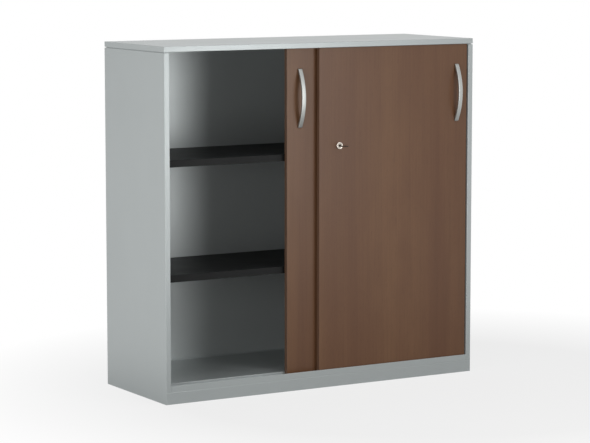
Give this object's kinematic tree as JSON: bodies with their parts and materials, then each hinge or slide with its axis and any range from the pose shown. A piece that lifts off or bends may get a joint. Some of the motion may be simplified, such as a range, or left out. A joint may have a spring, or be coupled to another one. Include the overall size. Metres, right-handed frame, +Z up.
{
  "type": "office cabinet",
  "caption": "Low steel office cabinet with wood-decor sliding doors that pass each other, bow handles, a cam lock with its key, and black shelves on clips.",
  "frame": {"origin": "on the floor, under the middle of the outline, which the carcass, the handles and the key make together", "axes": "+X to the right along the front, +Y from the doors to the back, +Z up"},
  "size_m": [1.2, 0.476, 1.165],
  "materials": {
    "grey_steel": "light grey powder coat, fine satin texture",
    "black_steel": "black powder coat, satin",
    "wood_decor": "walnut-brown wood decor laminate, upright grain, satin",
    "dark_edging": "dark brown plastic edge band",
    "satin_metal": "satin silver",
    "nickel": "bright nickel plate",
    "key_metal": "nickel-plated key, worn satin",
    "zinc_steel": "zinc plated",
    "grey_plastic": "grey moulded plastic",
    "white_nylon": "natural nylon",
    "track_aluminium": "satin anodised",
    "black_rubber": "matt rubber"
  },
  "bodies": {
    "carcass": {"left_side_shell": "grey_steel", "right_side_shell": "grey_steel", "left_side_liner": "grey_steel", "right_side_liner": "grey_steel", "top_panel": "grey_steel", "ceiling_panel": "grey_steel", "seam_spacers": "grey_steel", "ceiling_screws": "zinc_steel", "back_panel": "grey_steel", "back_screws": "zinc_steel", "bottom_panel": "grey_steel", "foot_hole_caps": "grey_plastic", "bottom_rail": "grey_steel", "plinth_front": "grey_steel", "plinth_rear": "grey_steel", "base_rails": "grey_steel", "foot_nuts": "zinc_steel", "bottom_track": "track_aluminium", "bottom_track_screws": "zinc_steel", "top_track": "track_aluminium", "top_track_screws": "zinc_steel", "track_stops": "grey_plastic", "door_buffers": "black_rubber", "upper_shelf": "black_steel", "lower_shelf": "black_steel", "upper_shelf_clips": "zinc_steel", "lower_shelf_clips": "zinc_steel"},
    "right_door": {"right_door_panel": "wood_decor", "right_door_edging": "dark_edging", "right_handle": "satin_metal", "right_handle_screws": "zinc_steel", "right_roller_housings": "grey_plastic", "right_roller_axles": "zinc_steel", "right_top_guides": "grey_plastic", "lock_rosette": "nickel", "lock_barrel": "nickel"},
    "left_door": {"left_door_panel": "wood_decor", "left_door_edging": "dark_edging", "left_handle": "satin_metal", "left_handle_screws": "zinc_steel", "left_roller_housings": "grey_plastic", "left_roller_axles": "zinc_steel", "left_top_guides": "grey_plastic", "lock_catch": "zinc_steel", "catch_screws": "zinc_steel"},
    "lock_cylinder": {"lock_plug": "nickel", "lock_cam": "zinc_steel", "cam_screw": "zinc_steel"},
    "door_key": {"key": "key_metal"},
    "right_door_roller_1": {"right_roller_1": "white_nylon"},
    "right_door_roller_2": {"right_roller_2": "white_nylon"},
    "left_door_roller_1": {"left_roller_1": "white_nylon"},
    "left_door_roller_2": {"left_roller_2": "white_nylon"},
    "levelling_front_left": {"front_left_foot": "zinc_steel"},
    "levelling_front_right": {"front_right_foot": "zinc_steel"},
    "levelling_rear_left": {"rear_left_foot": "zinc_steel"},
    "levelling_rear_right": {"rear_right_foot": "zinc_steel"}
  },
  "joints": [
    {"name": "right_door_slide", "type": "slide", "parent": "carcass", "child": "right_door", "axis": [-1, 0, 0], "range_m": [0, 0.4505]},
    {"name": "left_door_slide", "type": "slide", "parent": "right_door", "child": "left_door", "axis": [1, 0, 0], "range_m": [-0.4505, 0]},
    {"name": "key_turn", "type": "hinge", "parent": "right_door", "child": "lock_cylinder", "pos_m": [0.0615, -0.193, 0.8175], "axis": [0, -1, 0], "range_deg": [0, 180]},
    {"name": "key_withdraw", "type": "slide", "parent": "lock_cylinder", "child": "door_key", "axis": [0, -1, 0], "range_m": [0, 0.016]},
    {"name": "right_roller_1_spin", "type": "hinge", "parent": "right_door", "child": "right_door_roller_1", "pos_m": [0.054, -0.18, 0.0563], "axis": [0, 1, 0], "continuous": true},
    {"name": "right_roller_2_spin", "type": "hinge", "parent": "right_door", "child": "right_door_roller_2", "pos_m": [0.5095, -0.18, 0.0563], "axis": [0, 1, 0], "continuous": true},
    {"name": "left_roller_1_spin", "type": "hinge", "parent": "left_door", "child": "left_door_roller_1", "pos_m": [-0.059, -0.159, 0.0563], "axis": [0, 1, 0], "continuous": true},
    {"name": "left_roller_2_spin", "type": "hinge", "parent": "left_door", "child": "left_door_roller_2", "pos_m": [0.3965, -0.159, 0.0563], "axis": [0, 1, 0], "continuous": true},
    {"name": "front_left_level", "type": "slide", "parent": "carcass", "child": "levelling_front_left", "axis": [0, 0, 1], "range_m": [-0.012, 0]},
    {"name": "front_right_level", "type": "slide", "parent": "carcass", "child": "levelling_front_right", "axis": [0, 0, 1], "range_m": [-0.012, 0]},
    {"name": "rear_left_level", "type": "slide", "parent": "carcass", "child": "levelling_rear_left", "axis": [0, 0, 1], "range_m": [-0.012, 0]},
    {"name": "rear_right_level", "type": "slide", "parent": "carcass", "child": "levelling_rear_right", "axis": [0, 0, 1], "range_m": [-0.012, 0]}
  ],
  "couplings": [
    {"joint": "right_roller_1_spin", "follows": "right_door_slide", "rad_per_m": -90.909},
    {"joint": "right_roller_2_spin", "follows": "right_door_slide", "rad_per_m": -90.909},
    {"joint": "left_roller_1_spin", "follows": "left_door_slide", "rad_per_m": 90.909},
    {"joint": "left_roller_2_spin", "follows": "left_door_slide", "rad_per_m": 90.909}
  ]
}
